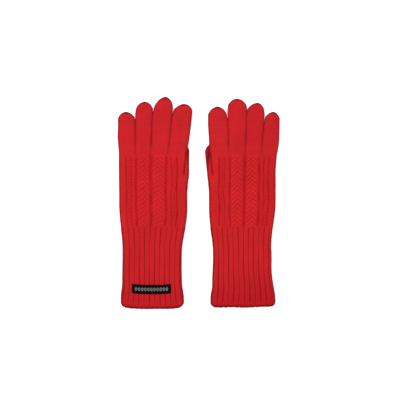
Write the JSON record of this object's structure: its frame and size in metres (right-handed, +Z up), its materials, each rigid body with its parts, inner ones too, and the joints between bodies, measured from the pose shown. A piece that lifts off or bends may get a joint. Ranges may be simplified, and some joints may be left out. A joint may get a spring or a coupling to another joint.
{
  "type": "knitted gloves",
  "caption": "Pair of long red knitted gloves lying palm down, with ribbed cuffs, cabled backs, plain fingers and a small black woven label on one cuff",
  "frame": {"origin": "on the surface that the gloves lie on, under the middle of the pair", "axes": "+X from the left glove to the right glove, +Y from the cuffs towards the fingertips, +Z up out of the backs of the hands"},
  "size_m": [0.2152, 0.282, 0.0177],
  "materials": {
    "plain_knit": "matte fine stocking-stitch knit",
    "cable_knit": "matte cable knit",
    "ribbed_knit": "matte ribbed knit",
    "label_weave": "close satin weave",
    "label_thread": "twisted sewing thread"
  },
  "bodies": {
    "left_hand_body": {"left_cable_back": "cable_knit", "left_palm_panel": "plain_knit", "left_thumb_gusset": "plain_knit"},
    "left_cuff_body": {"left_ribbed_cuff": "ribbed_knit", "left_cuff_hem": "ribbed_knit", "left_woven_label": "label_weave", "left_label_stitches": "label_thread"},
    "left_thumb_body": {"left_thumb_sleeve": "plain_knit"},
    "left_little_body": {"left_little_sleeve": "plain_knit"},
    "left_ring_body": {"left_ring_sleeve": "plain_knit"},
    "left_middle_body": {"left_middle_sleeve": "plain_knit"},
    "left_index_body": {"left_index_sleeve": "plain_knit"},
    "right_hand_body": {"right_cable_back": "cable_knit", "right_palm_panel": "plain_knit", "right_thumb_gusset": "plain_knit"},
    "right_cuff_body": {"right_ribbed_cuff": "ribbed_knit", "right_cuff_hem": "ribbed_knit"},
    "right_thumb_body": {"right_thumb_sleeve": "plain_knit"},
    "right_little_body": {"right_little_sleeve": "plain_knit"},
    "right_ring_body": {"right_ring_sleeve": "plain_knit"},
    "right_middle_body": {"right_middle_sleeve": "plain_knit"},
    "right_index_body": {"right_index_sleeve": "plain_knit"}
  },
  "joints": [
    {"name": "right_glove_shift", "type": "slide", "parent": "left_hand_body", "child": "right_hand_body", "axis": [1, 0, 0], "range_m": [0, 0.06]},
    {"name": "left_cuff_turn", "type": "hinge", "parent": "left_hand_body", "child": "left_cuff_body", "pos_m": [-0.059, -0.033, 0.0095], "axis": [-1, 0, 0], "range_deg": [0, 90]},
    {"name": "left_thumb_swing", "type": "hinge", "parent": "left_hand_body", "child": "left_thumb_body", "pos_m": [-0.0145, 0.008, 0.0039], "axis": [0, 0, -1], "range_deg": [0, 10]},
    {"name": "left_little_fold", "type": "hinge", "parent": "left_hand_body", "child": "left_little_body", "pos_m": [-0.0945, 0.068, 0.00955], "axis": [1, 0, 0], "range_deg": [0, 90]},
    {"name": "left_ring_fold", "type": "hinge", "parent": "left_hand_body", "child": "left_ring_body", "pos_m": [-0.073, 0.068, 0.00955], "axis": [1, 0, 0], "range_deg": [0, 90]},
    {"name": "left_middle_fold", "type": "hinge", "parent": "left_hand_body", "child": "left_middle_body", "pos_m": [-0.05125, 0.068, 0.01257], "axis": [1, 0, 0], "range_deg": [0, 90]},
    {"name": "left_index_fold", "type": "hinge", "parent": "left_hand_body", "child": "left_index_body", "pos_m": [-0.026, 0.068, 0.01775], "axis": [1, 0, 0], "range_deg": [0, 90]},
    {"name": "right_cuff_turn", "type": "hinge", "parent": "right_hand_body", "child": "right_cuff_body", "pos_m": [0.059, -0.033, 0.0095], "axis": [-1, 0, 0], "range_deg": [0, 90]},
    {"name": "right_thumb_swing", "type": "hinge", "parent": "right_hand_body", "child": "right_thumb_body", "pos_m": [0.0145, 0.008, 0.0039], "axis": [0, 0, 1], "range_deg": [0, 10]},
    {"name": "right_little_fold", "type": "hinge", "parent": "right_hand_body", "child": "right_little_body", "pos_m": [0.0945, 0.068, 0.00955], "axis": [1, 0, 0], "range_deg": [0, 90]},
    {"name": "right_ring_fold", "type": "hinge", "parent": "right_hand_body", "child": "right_ring_body", "pos_m": [0.073, 0.068, 0.00955], "axis": [1, 0, 0], "range_deg": [0, 90]},
    {"name": "right_middle_fold", "type": "hinge", "parent": "right_hand_body", "child": "right_middle_body", "pos_m": [0.05125, 0.068, 0.01257], "axis": [1, 0, 0], "range_deg": [0, 90]},
    {"name": "right_index_fold", "type": "hinge", "parent": "right_hand_body", "child": "right_index_body", "pos_m": [0.026, 0.068, 0.01775], "axis": [1, 0, 0], "range_deg": [0, 90]}
  ]
}
